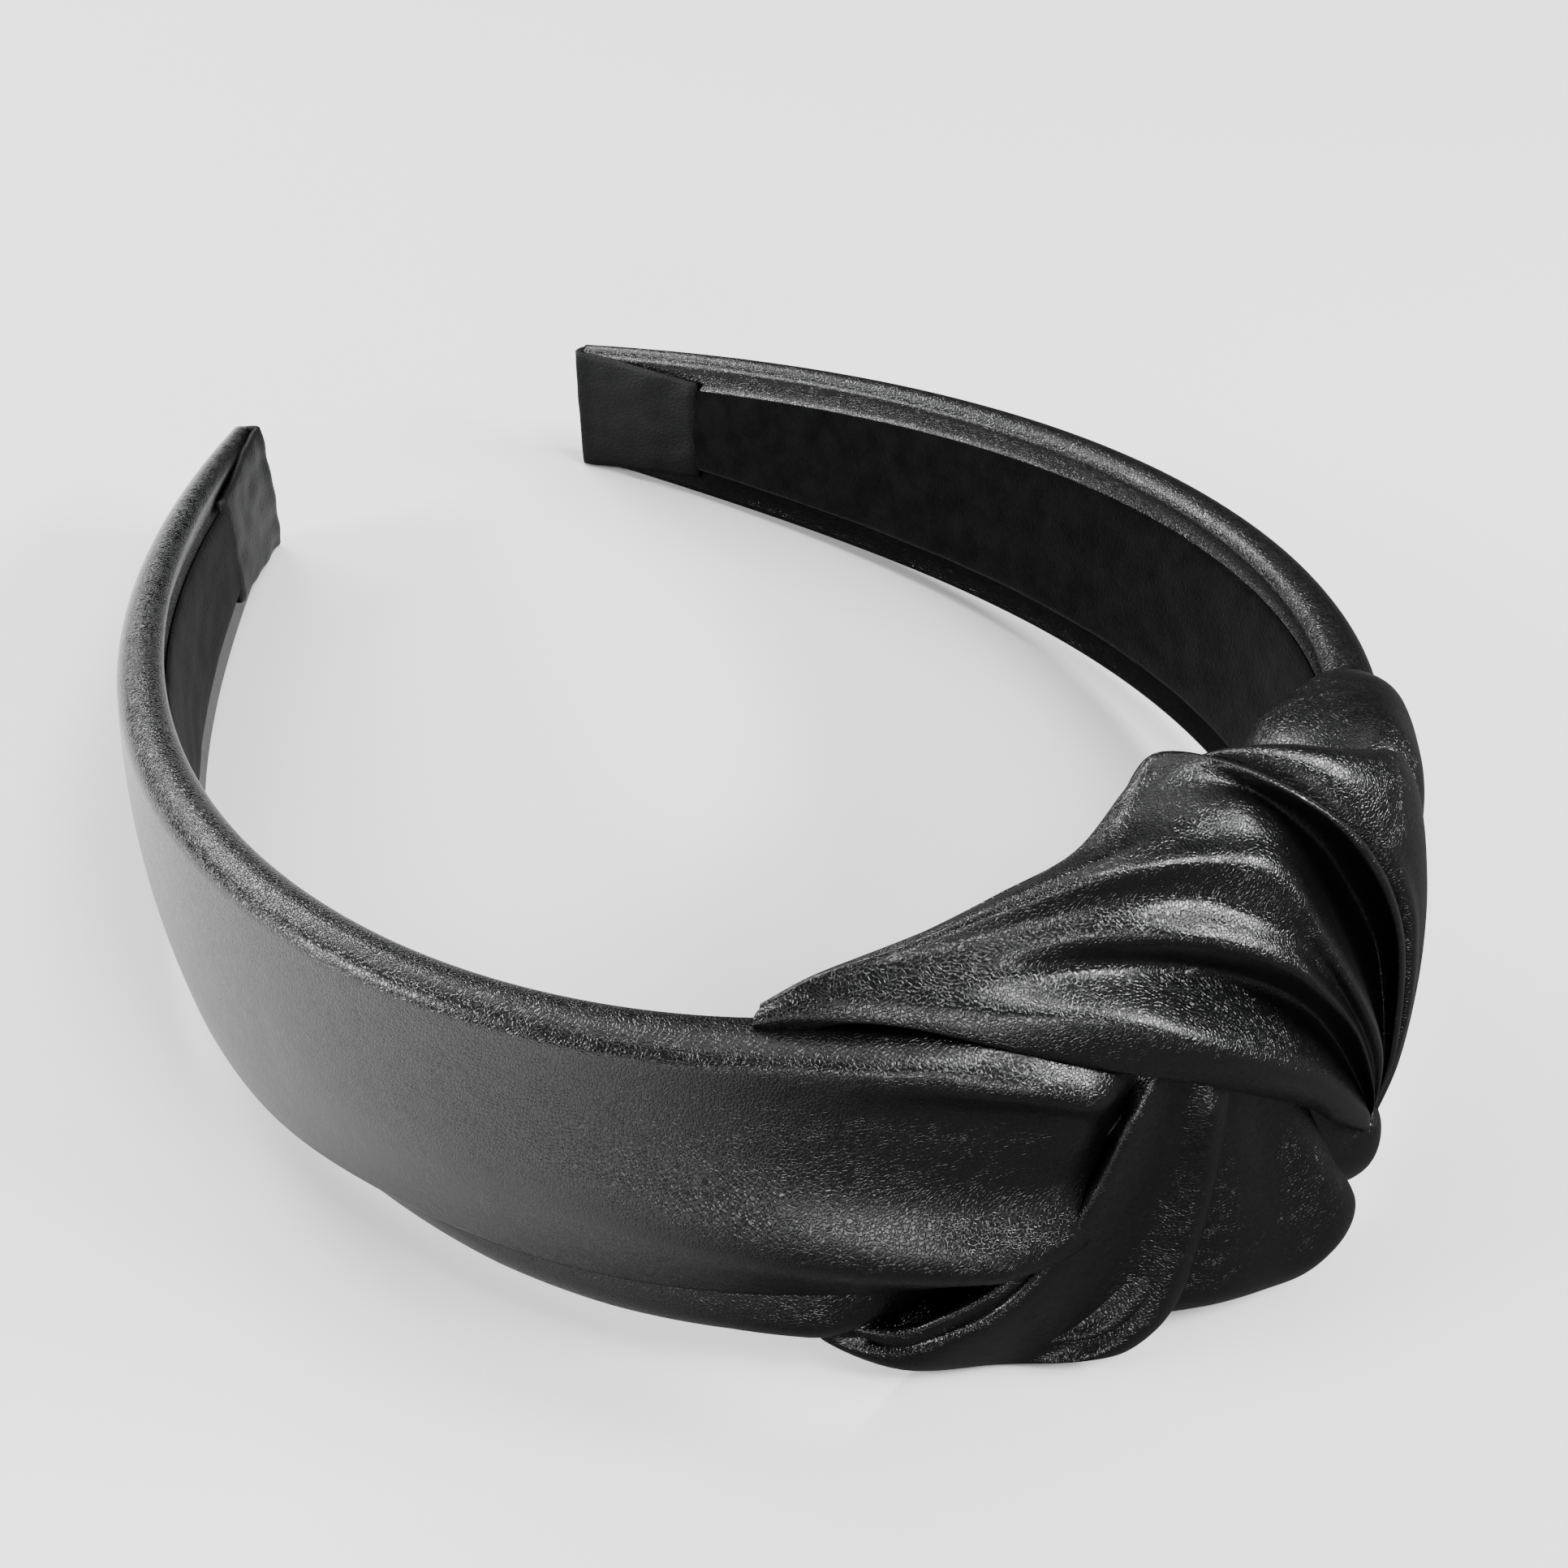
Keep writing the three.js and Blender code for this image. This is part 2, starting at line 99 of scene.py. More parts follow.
def new_material(name, **sockets):
    """A material with a Principled shader, its plain values set on the shader's own sockets."""
    material = bpy.data.materials.new(name)
    material.use_nodes = True
    shader = material.node_tree.nodes["Principled BSDF"]
    for socket, value in sockets.items():
        shader.inputs[socket.replace("_", " ")].default_value = value
    return material, material.node_tree, shader


# The camera sees the table white. Glossy rays see it dark, since black leather on a white table would
# turn grey, and see it fade to white only at the left, which the left arm's outer face mirrors.
MIRRORED_DARK = (0.065, 0.065, 0.066)
MIRRORED_WHITE = (0.95, 0.95, 0.96)
LEFTWARD = (-0.9, 0.45, 0.0)
WHITE_REACH = 0.085

table_finish, tree, shader = new_material("white_table", Roughness=0.75)
place = add_node(tree, "ShaderNodeTexCoord")
paper = add_node(tree, "ShaderNodeTexNoise", inputs={"Scale": 3.0, "Detail": 2.0})
tint = add_node(tree, "ShaderNodeValToRGB")
tint.color_ramp.elements[0].color = (0.74, 0.74, 0.75, 1)
tint.color_ramp.elements[1].color = (0.78, 0.78, 0.79, 1)
tree.links.new(place.outputs["Object"], paper.inputs["Vector"])
tree.links.new(paper.outputs["Fac"], tint.inputs["Fac"])
tree.links.new(tint.outputs["Color"], shader.inputs["Base Color"])
flag = add_node(tree, "ShaderNodeLightPath")
reach = add_node(tree, "ShaderNodeVectorMath", operation="DOT_PRODUCT", inputs={1: LEFTWARD})
mirrored = add_node(tree, "ShaderNodeValToRGB")
mirrored.color_ramp.elements[0].color = (*MIRRORED_DARK, 1)
mirrored.color_ramp.elements[1].color = (*MIRRORED_WHITE, 1)
spread = add_node(tree, "ShaderNodeMapRange", inputs={"From Max": WHITE_REACH})
tree.links.new(place.outputs["Object"], reach.inputs[0])
tree.links.new(reach.outputs["Value"], spread.inputs["Value"])
tree.links.new(spread.outputs["Result"], mirrored.inputs["Fac"])
flagged = add_node(tree, "ShaderNodeBsdfDiffuse")
tree.links.new(mirrored.outputs["Color"], flagged.inputs["Color"])
choice = add_node(tree, "ShaderNodeMixShader")
tree.links.new(flag.outputs["Is Glossy Ray"], choice.inputs[0])
tree.links.new(shader.outputs["BSDF"], choice.inputs[1])
tree.links.new(flagged.outputs["BSDF"], choice.inputs[2])
tree.links.new(choice.outputs["Shader"], tree.nodes["Material Output"].inputs["Surface"])
table_mesh.materials.append(table_finish)

room = bpy.data.worlds.new("room")
room.use_nodes = True
room.node_tree.nodes["Background"].inputs["Color"].default_value = (0.97, 0.98, 1.0, 1)
room.node_tree.nodes["Background"].inputs["Strength"].default_value = 0.07
bpy.context.scene.world = room


def soft_lamp(name, spot, size, power):
    """A rectangular lamp at a spot, pointing at the headband."""
    data = bpy.data.lights.new(name, "AREA")
    data.shape = "RECTANGLE"
    data.size, data.size_y = size
    data.energy = power
    lamp = bpy.data.objects.new(name, data)
    lamp.location = spot
    lamp.rotation_euler = (AIM - Vector(spot)).to_track_quat("-Z", "Y").to_euler()
    bpy.context.scene.collection.objects.link(lamp)


soft_lamp("overhead_lamp", (0.20, 0.30, 1.50), (1.60, 1.60), 21.0)
soft_lamp("key_lamp", (0.18, -0.56, 1.02), (0.34, 0.34), 12.0)
soft_lamp("back_lamp", (-0.20, 0.85, 0.62), (0.70, 0.08), 13.0)
soft_lamp("right_lamp", (0.64, -0.52, 0.55), (0.50, 0.14), 17.0)
soft_lamp("left_lamp", (-0.85, 0.25, 0.38), (0.30, 0.30), 13.0)
soft_lamp("front_lamp", (-0.28, -0.90, 0.27), (0.70, 0.10), 7.0)


# ----------------------------------------------------------------------------------------------------
# Plastic core: one springy strip of injection-moulded plastic. The frame has it in three lengths that
# meet at the flexing lines. It is hidden inside the leather and shows only in a cut.

plastic_finish, tree, shader = new_material("moulded_plastic", Roughness=0.45)
place = add_node(tree, "ShaderNodeTexCoord")
swirl = add_node(tree, "ShaderNodeTexNoise", inputs={"Scale": 140.0, "Detail": 4.0, "Distortion": 0.6})
shade = add_node(tree, "ShaderNodeValToRGB")
shade.color_ramp.elements[0].color = (0.010, 0.010, 0.011, 1)
shade.color_ramp.elements[1].color = (0.022, 0.022, 0.023, 1)
press = add_node(tree, "ShaderNodeBump", inputs={"Strength": 0.15, "Distance": 0.0001})
tree.links.new(place.outputs["Object"], swirl.inputs["Vector"])
tree.links.new(swirl.outputs["Fac"], shade.inputs["Fac"])
tree.links.new(shade.outputs["Color"], shader.inputs["Base Color"])
tree.links.new(swirl.outputs["Fac"], press.inputs["Height"])
tree.links.new(press.outputs["Normal"], shader.inputs["Normal"])


def finish_nodes(names, material):
    """Gives carried-over CAD nodes a finished material."""
    for name in names:
        for slot in frame["nodes"][name].material_slots:
            slot.material = material


finish_nodes(["crown_core", "left_arm_core", "right_arm_core"], plastic_finish)


# ----------------------------------------------------------------------------------------------------
# Foam padding: a soft open-cell foam strip laid over the core and rolled round its edges, and a wad of
# the same foam inside the knot. It is hidden by the leather.

foam_finish, tree, shader = new_material("foam_padding", Roughness=0.9)
place = add_node(tree, "ShaderNodeTexCoord")
cells = add_node(tree, "ShaderNodeTexVoronoi", inputs={"Scale": 1500.0})
# The ramp darkens each foam cell towards its middle, where the bump sinks it into a pit: painted shade in
# the pits.
shade = add_node(tree, "ShaderNodeValToRGB")
shade.color_ramp.elements[0].color = (0.22, 0.21, 0.18, 1)
shade.color_ramp.elements[1].color = (0.36, 0.34, 0.30, 1)
pits = add_node(tree, "ShaderNodeBump", inputs={"Strength": 0.6, "Distance": 0.0003})
tree.links.new(place.outputs["Object"], cells.inputs["Vector"])
tree.links.new(cells.outputs["Distance"], shade.inputs["Fac"])
tree.links.new(shade.outputs["Color"], shader.inputs["Base Color"])
tree.links.new(cells.outputs["Distance"], pits.inputs["Height"])
tree.links.new(pits.outputs["Normal"], shader.inputs["Normal"])


# ----------------------------------------------------------------------------------------------------
# Velvet lining: two lengths of black velvet ribbon glued down the inner face, over the turned-in lips
# of the leather. Each runs from under the knot's inner wrap to the tab at a tip, and narrows to it.

# Along the band, in millimetres: arc runs along the inner face from mid crown (+ on the right arm),
# across runs up its width, out leads away from the head.
HALF_LENGTH = 190.0
CROWN_RADIUS = 52.968
TIP_RADIUS = 359.77
MM = 0.001
walk = np.linspace(0, HALF_LENGTH + 10, 801)
walk_step = walk[1] - walk[0]
walk_share = np.minimum((walk[:-1] + walk_step / 2) / HALF_LENGTH, 1)
walk_turn = (1 / TIP_RADIUS + (1 / CROWN_RADIUS - 1 / TIP_RADIUS) * (1 - walk_share ** 2) ** 2) * walk_step
walk_heading = np.concatenate([[0], np.cumsum(walk_turn)])
walk_middle = walk_heading[:-1] + walk_turn / 2
walk_x = np.concatenate([[0], np.cumsum(np.cos(walk_middle))]) * walk_step
walk_y = np.concatenate([[0], np.cumsum(np.sin(walk_middle))]) * walk_step

flex = {joint["name"]: joint for joint in frame["joints"]}
LEFT_FLEX_ARC = -46.0
FLEX_OUT = 2.55
tilt_sine, tilt_cosine = -flex["left_arm_flex"]["axis"][1], flex["left_arm_flex"]["axis"][2]


def band_turned(points):
    """Band points (arc, across, out) in millimetres, bent and tilted but not yet lifted, in metres."""
    points = np.asarray(points, float)
    arc, across, out = points[..., 0], points[..., 1], points[..., 2]
    side = np.where(arc < 0, -1.0, 1.0)
    heading = np.interp(np.abs(arc), walk, walk_heading)
    x = side * (np.interp(np.abs(arc), walk, walk_x) + np.sin(heading) * out)
    y = np.interp(np.abs(arc), walk, walk_y) - np.cos(heading) * out
    tilted = [x, y * tilt_cosine - across * tilt_sine, y * tilt_sine + across * tilt_cosine]
    return np.stack(tilted, -1) * MM


lift = np.array(flex["left_arm_flex"]["pos_m"]) - band_turned([LEFT_FLEX_ARC, 0, FLEX_OUT])


def band_place(points):
    """Row-frame points, in metres, for points of the band in millimetres."""
    return band_turned(points) + lift


CROWN_HALF_WIDTH = 15.5
TIP_HALF_WIDTH = 8.9


def crown_share(arc):
    """1 at mid crown, falling to 0 at the tips."""
    return 1 - np.minimum(np.abs(arc) / HALF_LENGTH, 1) ** 3


def half_width(arc):
    """Half the band's width over the leather."""
    return TIP_HALF_WIDTH + (CROWN_HALF_WIDTH - TIP_HALF_WIDTH) * crown_share(arc)


def shell_piece(name, points, material, body=None):
    """A closed piece from rings of band points: rows follow each other, and each row is a closed ring."""
    rows, columns, _ = points.shape
    ends = points[[0, -1]].mean(axis=1)
    every = np.concatenate([points.reshape(-1, 3), ends])
    placed = band_place(every)
    faces = []
    for row in range(rows - 1):
        low = row * columns
        for column in range(columns):
            after = (column + 1) % columns
            faces.append((low + column, low + after, low + columns + after, low + columns + column))
    first_end, last_end = rows * columns, rows * columns + 1
    last = (rows - 1) * columns
    for column in range(columns):
        after = (column + 1) % columns
        faces.append((after, column, first_end))
        faces.append((last + column, last + after, last_end))
    mesh = bpy.data.meshes.new(name)
    mesh.from_pydata([tuple(point) for point in placed], [], faces)
    second_halves = [(face[0], face[2], face[3]) for face in faces if len(face) == 4]
    triangles = np.array([face[:3] for face in faces] + second_halves)
    a, b, c = (placed[triangles[:, k]] - placed.mean(axis=0) for k in range(3))
    if np.einsum("ij,ij->i", a, np.cross(b, c)).sum() < 0:
        mesh.flip_normals()
    mesh.shade_smooth()
    mesh.materials.append(material)
    piece = bpy.data.objects.new(name, mesh)
    bpy.context.scene.collection.objects.link(piece)
    if body:
        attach(piece, body)
    return piece


velvet_finish, tree, shader = new_material(
    "velvet_ribbon", Roughness=0.95, Sheen_Weight=0.03, Sheen_Roughness=0.5
)
shader.inputs["Specular IOR Level"].default_value = 0.04
place = add_node(tree, "ShaderNodeTexCoord")
pile_crush_and_sheen = add_node(tree, "ShaderNodeTexNoise", inputs={"Scale": 260.0, "Detail": 5.0, "Roughness": 0.65})
pile = add_node(tree, "ShaderNodeTexNoise", inputs={"Scale": 2600.0, "Detail": 2.0})
# The crushed pile's pattern dents the velvet through the bump, which is real. Its lighter patches in the
# colour are painted sheen, standing in for pile that catches the light.
shade = add_node(tree, "ShaderNodeValToRGB")
shade.color_ramp.elements[0].position = 0.35
shade.color_ramp.elements[0].color = (0.0010, 0.0010, 0.0011, 1)
shade.color_ramp.elements[1].position = 0.72
shade.color_ramp.elements[1].color = (0.0042, 0.0043, 0.0046, 1)
brush = add_node(tree, "ShaderNodeBump", inputs={"Strength": 0.5, "Distance": 0.0003})
tufts = add_node(tree, "ShaderNodeBump", inputs={"Strength": 0.7, "Distance": 0.0002})
tree.links.new(place.outputs["Object"], pile_crush_and_sheen.inputs["Vector"])
tree.links.new(place.outputs["Object"], pile.inputs["Vector"])
tree.links.new(pile_crush_and_sheen.outputs["Fac"], shade.inputs["Fac"])
tree.links.new(shade.outputs["Color"], shader.inputs["Base Color"])
tree.links.new(pile_crush_and_sheen.outputs["Fac"], brush.inputs["Height"])
tree.links.new(pile.outputs["Fac"], tufts.inputs["Height"])
tree.links.new(brush.outputs["Normal"], tufts.inputs["Normal"])
tree.links.new(tufts.outputs["Normal"], shader.inputs["Normal"])

KNOT_MIDDLE = 9.0
RIBBON_INSET = 4.6
RIBBON_THICKNESS = 0.6
TAB_LENGTH = 19.0
RIBBON_STOP = HALF_LENGTH - TAB_LENGTH + 2.5
RIBBON_COLUMNS = 29
RIBBON_FACE = 0.1
PILE_PUFF = 0.16
EDGE_TURN = 0.42


def ribbon_rings(start, end):
    """Flat rings of the ribbon, slightly domed by its pile and with soft edges."""
    rings = []
    for arc in np.linspace(start, end, 260):
        half = half_width(arc) - RIBBON_INSET
        across = np.linspace(-1, 1, RIBBON_COLUMNS)
        puff = PILE_PUFF * np.array([noise.noise((arc * 0.16, value * half * 0.3, 3.0)) for value in across])
        face = RIBBON_FACE + puff + EDGE_TURN * np.abs(across) ** 8
        back = np.full(RIBBON_COLUMNS, RIBBON_THICKNESS + RIBBON_FACE)
        inner = np.stack([np.full_like(across, arc), across * half, face], -1)
        outer = np.stack([np.full_like(across, arc), across * half, back], -1)
        rings.append(np.concatenate([inner, outer[::-1]]))
    return np.array(rings)


def blend_arm(piece):
    """Bakes a piece's placement into its mesh."""
    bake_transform(piece)


for side, sign in (("left", -1), ("right", 1)):
    ribbon = shell_piece(
        side + "_ribbon", ribbon_rings(KNOT_MIDDLE, sign * RIBBON_STOP), velvet_finish
    )
    blend_arm(ribbon)
    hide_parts(side + "_arm_lining", "crown_lining")


# ----------------------------------------------------------------------------------------------------
# Leather covers: one tapered length of faux leather for each arm, drawn over the foam, rolled round
# both edges and glued down as lips on the inner face. The left one is pulled into folds at the knot.

def leather_grain_group():
    """Pebble grain of embossed faux leather, as height for a bump."""
    group = bpy.data.node_groups.new("leather_grain", "ShaderNodeTree")
    group.interface.new_socket("Place", in_out="INPUT", socket_type="NodeSocketVector")
    group.interface.new_socket("Pebbles per metre", in_out="INPUT", socket_type="NodeSocketFloat")
    group.interface.new_socket("Height", in_out="OUTPUT", socket_type="NodeSocketFloat")
    enter = add_node(group, "NodeGroupInput")
    leave = add_node(group, "NodeGroupOutput")
    warp = add_node(group, "ShaderNodeTexNoise", inputs={"Scale": 420.0, "Detail": 2.0})
    push = add_node(group, "ShaderNodeVectorMath", operation="SCALE", inputs={"Scale": 0.0012})
    bent = add_node(group, "ShaderNodeVectorMath", operation="ADD")
    pebble = add_node(group, "ShaderNodeTexVoronoi", feature="DISTANCE_TO_EDGE")
    fine = add_node(group, "ShaderNodeTexNoise", inputs={"Scale": 5200.0, "Detail": 2.0})
    curve = add_node(group, "ShaderNodeMapRange", interpolation_type="SMOOTHSTEP")
    curve.inputs["From Max"].default_value = 0.24
    weight = add_node(group, "ShaderNodeMath", operation="MULTIPLY", inputs={1: 0.15})
    total = add_node(group, "ShaderNodeMath", operation="ADD")
    group.links.new(enter.outputs["Place"], warp.inputs["Vector"])
    group.links.new(warp.outputs["Color"], push.inputs[0])
    group.links.new(enter.outputs["Place"], bent.inputs[0])
    group.links.new(push.outputs["Vector"], bent.inputs[1])
    group.links.new(bent.outputs["Vector"], pebble.inputs["Vector"])
    group.links.new(enter.outputs["Pebbles per metre"], pebble.inputs["Scale"])
    group.links.new(enter.outputs["Place"], fine.inputs["Vector"])
    group.links.new(pebble.outputs["Distance"], curve.inputs["Value"])
    group.links.new(fine.outputs["Fac"], weight.inputs[0])
    group.links.new(curve.outputs["Result"], total.inputs[0])
    group.links.new(weight.outputs["Value"], total.inputs[1])
    group.links.new(total.outputs["Value"], leave.inputs["Height"])
    return group


def handling_group():
    """Light wear from handling: broad patches where the finish is duller."""
    group = bpy.data.node_groups.new("handling_wear", "ShaderNodeTree")
    group.interface.new_socket("Place", in_out="INPUT", socket_type="NodeSocketVector")
    group.interface.new_socket("Rub", in_out="OUTPUT", socket_type="NodeSocketFloat")
    enter = add_node(group, "NodeGroupInput")
    leave = add_node(group, "NodeGroupOutput")
    broad = add_node(group, "ShaderNodeTexNoise", inputs={"Scale": 55.0, "Detail": 4.0, "Roughness": 0.6})
    group.links.new(enter.outputs["Place"], broad.inputs["Vector"])
    group.links.new(broad.outputs["Fac"], leave.inputs["Rub"])
    return group


grain_group = leather_grain_group()
wear_group = handling_group()


def leather_finish(name, dark, light, pebbles, depth, smooth, rough, ior=1.43):
    """Faux leather: near-black with slight colour variation, pebble grain and a worn satin gloss."""
    material, tree, shader = new_material(name, IOR=ior)
    place = add_node(tree, "ShaderNodeTexCoord")
    grain = add_node(tree, "ShaderNodeGroup", node_tree=grain_group)
    grain.inputs["Pebbles per metre"].default_value = pebbles
    wear = add_node(tree, "ShaderNodeGroup", node_tree=wear_group)
    shade = add_node(tree, "ShaderNodeValToRGB")
    shade.color_ramp.elements[0].position = 0.3
    shade.color_ramp.elements[0].color = (*dark, 1)
    shade.color_ramp.elements[1].position = 0.8
    shade.color_ramp.elements[1].color = (*light, 1)
    gloss = add_node(tree, "ShaderNodeMapRange", inputs={"From Min": 0.3, "From Max": 0.75})
    gloss.inputs["To Min"].default_value = smooth
    gloss.inputs["To Max"].default_value = rough
    bump = add_node(tree, "ShaderNodeBump", inputs={"Strength": 1.0, "Distance": depth})
    tree.links.new(place.outputs["Object"], grain.inputs["Place"])
    tree.links.new(place.outputs["Object"], wear.inputs["Place"])
    tree.links.new(wear.outputs["Rub"], shade.inputs["Fac"])
    tree.links.new(shade.outputs["Color"], shader.inputs["Base Color"])
    tree.links.new(wear.outputs["Rub"], gloss.inputs["Value"])
    tree.links.new(gloss.outputs["Result"], shader.inputs["Roughness"])
    tree.links.new(grain.outputs["Height"], bump.inputs["Height"])
    tree.links.new(bump.outputs["Normal"], shader.inputs["Normal"])
    return material


cover_finish = leather_finish(
    "cover_leather", (0.0011, 0.0011, 0.0012), (0.0020, 0.0019, 0.0019), 2900.0, 0.000023, 0.25, 0.29
)

LIP_OUT = 0.9
SKIN = 0.6
LIP_LENGTH = 7.0
LIP_EDGE = 1.6
ROLL_WIDTH = 4.0
GROOVE_WIDTH = 0.5
GROOVE_RISE = 0.6
CROWN_ROLL_RISE = 0.9
CROWN_BULGE = 1.1
TIP_BULGE = 0.2
CROWN_THICKNESS = 6.6
TIP_THICKNESS = 4.4
ROLL_POINTS = 14
FACE_POINTS = 22


def tapered(tip, crown, arc):
    """A size that goes from its value at the tips to its value at mid crown."""
    return tip + (crown - tip) * crown_share(arc)


def smooth_step(value, start, end):
    """0 before start, 1 after end, smooth between them."""
    share = np.clip((np.asarray(value, float) - start) / (end - start), 0, 1)
    return share * share * (3 - 2 * share)


def cover_outline(arc, low_edge, high_edge):
    """Outer outline of the leather at one arc, from the lower lip round the outer face to the upper lip."""
    thick = tapered(TIP_THICKNESS, CROWN_THICKNESS, arc)
    edge_top = thick - tapered(TIP_BULGE, CROWN_BULGE, arc)
    roll_low = LIP_OUT - tapered(0, CROWN_ROLL_RISE, arc)
    middle, depth = (edge_top + roll_low) / 2, (edge_top - roll_low) / 2
    sides = []
    for half in (low_edge, high_edge):
        lip = [
            (half - LIP_LENGTH, LIP_OUT), (half - LIP_LENGTH + LIP_EDGE, LIP_OUT),
            (half - ROLL_WIDTH - GROOVE_WIDTH, LIP_OUT), (half - ROLL_WIDTH - 0.1, LIP_OUT + GROOVE_RISE),
        ]
        angles = np.linspace(-math.pi / 2, math.pi / 2, ROLL_POINTS + 1)[1:]
        centre = half - ROLL_WIDTH / 2
        roll = [(centre + math.cos(a) * ROLL_WIDTH / 2, middle + math.sin(a) * depth) for a in angles]
        shares = 1 - np.linspace(0, 1, FACE_POINTS + 1)[1:]
        face = [(centre * share, thick - (thick - edge_top) * share * share) for share in shares]
        sides.append(np.array(lip + roll + face))
    low, high = sides
    low = low * [-1, 1]
    return np.concatenate([low[:-1], high[::-1]])


def inset(outline, distance):
    """An open outline moved to its inner side."""
    ahead = np.concatenate([outline[1:], outline[-1:]])
    behind = np.concatenate([outline[:1], outline[:-1]])
    along = ahead - behind
    along /= np.linalg.norm(along, axis=1, keepdims=True)
    return outline + np.stack([along[:, 1], -along[:, 0]], -1) * distance


def bump_at(arc, across, spot, reach, height):
    """A soft swelling (or hollow, if height is negative) round a spot of the band."""
    away = ((arc - spot[0]) / reach[0]) ** 2 + ((across - spot[1]) / reach[1]) ** 2
    return height * np.exp(-away)


def left_relief(arc, across):
    """How far the left cover's outer face stands out where it is drawn into the knot: a roll along the
    top edge, a broader one that comes down across the face, and a swelling beside the knot."""
    top_line = np.interp(arc, [-40, -28, -19, -12, -7, 0], [15, 14.0, 13.0, 11.0, 9, 7])
    top_rise = np.interp(arc, [-52, -28, -19, -12, -7, 0], [0, 0.7, 2.0, 3.2, 3.0, 1.0])
    relief = top_rise * np.exp(-((across - top_line) / 2.8) ** 2)
    roll_line = np.interp(arc, [-60, -45, -30, -14, 0], [0, -1.0, -3.6, -8.0, -9.5])
    roll_rise = np.interp(arc, [-76, -50, -28, -14, -6, 0], [0, 1.1, 3.0, 4.0, 2.6, 0.6])
    roll_reach = np.interp(arc, [-60, -30, -14], [6.5, 5.4, 4.2])
    relief += roll_rise * np.exp(-((across - roll_line) / roll_reach) ** 2)
    relief += bump_at(arc, across, (-8.0, 4.5), (3.4, 5.0), 1.4)
    return relief * (1 - smooth_step(arc, -9, 1))


def no_relief(arc, across):
    """The right cover's outer face is plain."""
    return np.zeros_like(across)


RELIEF_FROM = 2.0
RELIEF_FULL = 5.2


def cover_rings(arcs, low_edge_of, relief_of):
    """Rings of a cover: its outline with the outer face's relief, and back along the skin's inner side."""
    rings = []
    for arc in arcs:
        outline = cover_outline(arc, low_edge_of(arc), half_width(arc))
        across, out = outline[:, 0], outline[:, 1]
        weight = smooth_step(out, RELIEF_FROM, RELIEF_FULL)
        outline = np.stack([across, out + weight * relief_of(arc, across)], -1)
        ring = np.concatenate([outline, inset(outline, SKIN)[::-1]])
        rings.append(np.concatenate([np.full((len(ring), 1), arc), ring], -1))
    return np.array(rings)


FOLD_RISE = 1.9


def left_low_edge(arc):
    """The left cover's lower edge lies higher where the second layer shows under it."""
    return half_width(arc) - FOLD_RISE * smooth_step(arc, -84, -62)


CORE_LEVEL = 1.8
CORE_TOP = 3.3
CORE_INSET = 3.0
LAYER_GAP = 0.3
LIP_POINTS = 4
FOAM_STOP = 164.0


def foam_rings(arcs, low_edge_of, relief_of):
    """Rings of the foam: it fills the leather and lies over the core and round its edges."""
    rings = []
    for ring, arc in zip(cover_rings(arcs, low_edge_of, relief_of), arcs):
        outline = ring[:len(ring) // 2, 1:]
        outer = inset(outline, SKIN + LAYER_GAP)[LIP_POINTS + 1:-LIP_POINTS - 1]
        edge = half_width(arc) - CORE_INSET + LAYER_GAP
        bed = CORE_TOP + LAYER_GAP
        inner = [(edge, CORE_LEVEL), (edge, bed), (0, bed), (-edge, bed), (-edge, CORE_LEVEL)]
        closed = np.concatenate([outer, inner])
        rings.append(np.concatenate([np.full((len(closed), 1), arc), closed], -1))
    return np.array(rings)


COVER_STOP = HALF_LENGTH + 0.2

left_arcs = np.linspace(-COVER_STOP, KNOT_MIDDLE, 340)
left_cover = shell_piece("left_cover", cover_rings(left_arcs, left_low_edge, left_relief), cover_finish)
left_foam = shell_piece(
    "left_foam", foam_rings(np.linspace(-FOAM_STOP, KNOT_MIDDLE, 170), left_low_edge, left_relief),
    foam_finish,
)
blend_arm(left_foam)
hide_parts("left_arm_foam", "crown_foam")
blend_arm(left_cover)
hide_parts("left_arm_cover", "left_crown_cover")

right_arcs = np.linspace(KNOT_MIDDLE, COVER_STOP, 320)
right_cover = shell_piece("right_cover", cover_rings(right_arcs, half_width, no_relief), cover_finish)
right_foam = shell_piece(
    "right_foam", foam_rings(np.linspace(KNOT_MIDDLE, FOAM_STOP, 150), half_width, no_relief),
    foam_finish,
)
blend_arm(right_foam)
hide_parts("right_arm_foam")
blend_arm(right_cover)
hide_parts("right_arm_cover", "right_crown_cover")


# ----------------------------------------------------------------------------------------------------
# Pleat: the cover's spare width, folded back under the left arm's lower edge as a second, flatter roll
# that comes out of the knot and dies away along the arm.

PLEAT_FROM = -12.0
PLEAT_TO = -74.0


def spline(points, count, closed):
    """Points along a smooth line through the given ones, a count of them, evenly spread over its spans."""
    total = len(points)
    spans = total if closed else total - 1
    where = np.linspace(0, spans, count, endpoint=not closed)
    span = np.minimum(where.astype(int), spans - 1)
    part = (where - span).reshape((-1,) + (1,) * (points.ndim - 1))
    steps = [span + move for move in (-1, 0, 1, 2)]
    steps = [step % total if closed else np.clip(step, 0, total - 1) for step in steps]
    a, b, c, d = (points[step] for step in steps)
    bend = (2 * a - 5 * b + 4 * c - d) * part ** 2 + (3 * b - a - 3 * c + d) * part ** 3
    return b + ((c - a) * part + bend) / 2


